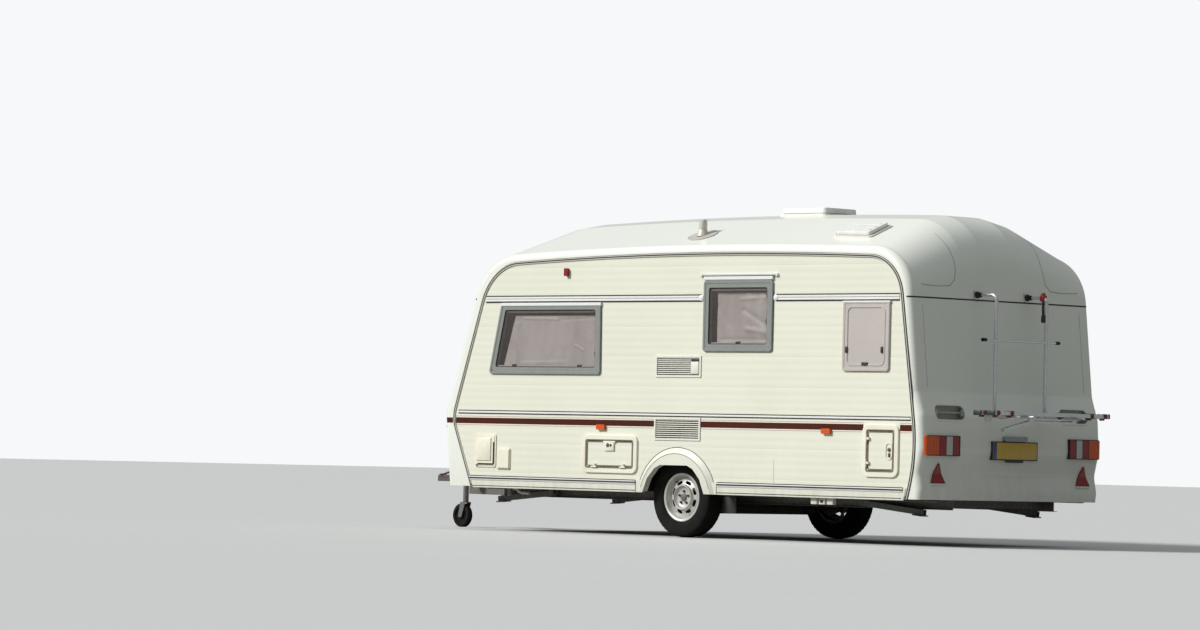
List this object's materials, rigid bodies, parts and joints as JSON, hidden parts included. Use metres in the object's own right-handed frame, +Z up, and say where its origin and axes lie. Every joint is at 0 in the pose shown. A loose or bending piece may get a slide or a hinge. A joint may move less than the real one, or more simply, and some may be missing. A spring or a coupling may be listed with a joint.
{
  "type": "travel caravan",
  "caption": "Single-axle touring caravan with a raised moulded roof, side and front windows, lockers, roof hatches, corner steadies, overrun coupling and a folding rear cycle carrier.",
  "frame": {"origin": "on the ground at the middle of the overall bounding box, with the road wheels and the jockey wheel standing on it", "axes": "+X towards the rear of the caravan, +Y towards its right-hand side with the entrance door, +Z up"},
  "size_m": [6.935, 2.2003, 2.669],
  "materials": {
    "white_metal": "satin white coating",
    "galvanised": "dull zinc coating",
    "blank_window": "opaque pinkish grey",
    "silver_tube": "satin silver",
    "cream_moulding": "satin cream",
    "black_rubber": "matt black",
    "coupling_steel": "dark grey paint",
    "cream_panel": "finely ribbed cream skin",
    "tinted_glazing": "smoked acrylic",
    "floor_board": "dark treated board",
    "flue_metal": "dull metal",
    "white_moulding": "satin white moulding",
    "black_steel": "black paint",
    "amber_lens": "moulded amber lens",
    "clear_lens": "moulded clear lens",
    "red_lens": "moulded red lens",
    "black_moulding": "matt black moulding",
    "wheel_silver": "silver-white paint",
    "hatch_moulding": "weathered translucent cream",
    "tyre_rubber": "matt black",
    "blind_cloth": "pleated greyish pink cloth",
    "grey_moulding": "satin grey moulding"
  },
  "bodies": {
    "caravan_body": {"awning_rails": "white_metal", "axle": "galvanised", "bathroom_window": "blank_window", "carrier_frame": "silver_tube", "chassis_rails": "galvanised", "coupling_bellows": "black_rubber", "coupling_head": "coupling_steel", "cross_members": "galvanised", "door_frames": "cream_moulding", "drawbar": "galvanised", "floor_panel": "floor_board", "flue_cowl": "flue_metal", "fridge_vents": "white_moulding", "front_panel": "white_moulding", "gas_locker_box": "black_moulding", "grab_handles": "white_moulding", "jockey_clamp": "galvanised", "lamps_amber": "amber_lens", "lamps_clear": "clear_lens", "lamps_red": "red_lens", "overrun_housing": "coupling_steel", "plate_holder": "black_moulding", "rear_panel": "white_moulding", "roof_hatch_frames": "white_moulding", "roof_shell": "white_moulding", "service_flaps": "cream_moulding", "side_wall_left": "cream_panel", "side_wall_right": "cream_panel", "skirts_and_arches": "cream_moulding", "steady_brackets": "galvanised", "wheel_boxes": "black_moulding", "window_blinds": "blind_cloth", "window_frames": "grey_moulding", "window_panes": "tinted_glazing"},
    "wheel_left_body": {"rim_left": "wheel_silver", "tyre_left": "tyre_rubber"},
    "wheel_right_body": {"rim_right": "wheel_silver", "tyre_right": "tyre_rubber"},
    "entrance": {"entrance_door": "cream_panel", "entrance_pane": "tinted_glazing"},
    "mid_locker": {"locker_lid": "cream_moulding"},
    "cassette_locker": {"cassette_lid": "cream_moulding"},
    "gas_locker": {"gas_locker_lid": "white_moulding"},
    "skylight": {"skylight_lid": "hatch_moulding"},
    "small_hatch": {"roof_hatch_lid": "hatch_moulding"},
    "jockey_tube": {"jockey_leg": "galvanised"},
    "jockey_swivel": {"jockey_fork": "galvanised"},
    "jockey_roller": {"jockey_wheel": "black_rubber"},
    "handbrake": {"handbrake_lever": "black_steel"},
    "steady_fl": {"steady_front_left": "galvanised"},
    "steady_fr": {"steady_front_right": "galvanised"},
    "steady_rl": {"steady_rear_left": "galvanised"},
    "steady_rr": {"steady_rear_right": "galvanised"},
    "cycle_platform": {"carrier_platform": "silver_tube"}
  },
  "joints": [
    {"name": "wheel_left_turn", "type": "hinge", "parent": "caravan_body", "child": "wheel_left_body", "pos_m": [0.3925, -0.9, 0.32], "axis": [0, 1, 0], "continuous": true},
    {"name": "wheel_right_turn", "type": "hinge", "parent": "caravan_body", "child": "wheel_right_body", "pos_m": [0.3925, 0.9, 0.32], "axis": [0, 1, 0], "continuous": true},
    {"name": "entrance_hinge", "type": "hinge", "parent": "caravan_body", "child": "entrance", "pos_m": [1.0425, 1.0873, 1.27], "axis": [0, 0, 1], "range_deg": [0, 120]},
    {"name": "mid_locker_hinge", "type": "hinge", "parent": "caravan_body", "child": "mid_locker", "pos_m": [-0.3255, -1.0933, 0.546], "axis": [1, 0, 0], "range_deg": [0, 100]},
    {"name": "cassette_hinge", "type": "hinge", "parent": "caravan_body", "child": "cassette_locker", "pos_m": [2.4615, -1.0933, 0.725], "axis": [0, 0, -1], "range_deg": [0, 110]},
    {"name": "gas_locker_hinge", "type": "hinge", "parent": "caravan_body", "child": "gas_locker", "pos_m": [-2.3031, 0, 0.8975], "axis": [0, 1, 0], "range_deg": [0, 80]},
    {"name": "skylight_hinge", "type": "hinge", "parent": "caravan_body", "child": "skylight", "pos_m": [0.6715, 0, 2.6243], "axis": [0, -1, 0], "range_deg": [0, 60]},
    {"name": "small_hatch_hinge", "type": "hinge", "parent": "caravan_body", "child": "small_hatch", "pos_m": [1.87203, -0.73784, 2.45313], "axis": [-0.0089, -0.9298, -0.3679], "range_deg": [0, 60]},
    {"name": "jockey_winding", "type": "slide", "parent": "caravan_body", "child": "jockey_tube", "axis": [0, 0, 1], "range_m": [0, 0.16]},
    {"name": "jockey_swivel_turn", "type": "hinge", "parent": "jockey_tube", "child": "jockey_swivel", "pos_m": [-2.8575, -0.255, 0.215], "axis": [0, 0, 1], "continuous": true},
    {"name": "jockey_wheel_turn", "type": "hinge", "parent": "jockey_swivel", "child": "jockey_roller", "pos_m": [-2.8925, -0.255, 0.1], "axis": [0, 1, 0], "continuous": true},
    {"name": "handbrake_pull", "type": "hinge", "parent": "caravan_body", "child": "handbrake", "pos_m": [-2.9075, 0.073, 0.478], "axis": [0, -1, 0], "range_deg": [0, 70]},
    {"name": "carrier_fold", "type": "hinge", "parent": "caravan_body", "child": "cycle_platform", "pos_m": [3.1425, 0, 1.01], "axis": [0, -1, 0], "range_deg": [0, 90]},
    {"name": "steady_rl_pivot", "type": "hinge", "parent": "caravan_body", "child": "steady_rl", "pos_m": [2.0725, -0.676, 0.318], "axis": [0, 1, 0], "range_deg": [0, 20]},
    {"name": "steady_rr_pivot", "type": "hinge", "parent": "caravan_body", "child": "steady_rr", "pos_m": [2.0725, 0.676, 0.318], "axis": [0, 1, 0], "range_deg": [0, 20]},
    {"name": "steady_fl_pivot", "type": "hinge", "parent": "caravan_body", "child": "steady_fl", "pos_m": [-1.3675, -0.676, 0.318], "axis": [0, -1, 0], "range_deg": [0, 20]},
    {"name": "steady_fr_pivot", "type": "hinge", "parent": "caravan_body", "child": "steady_fr", "pos_m": [-1.3675, 0.676, 0.318], "axis": [0, -1, 0], "range_deg": [0, 20]}
  ]
}
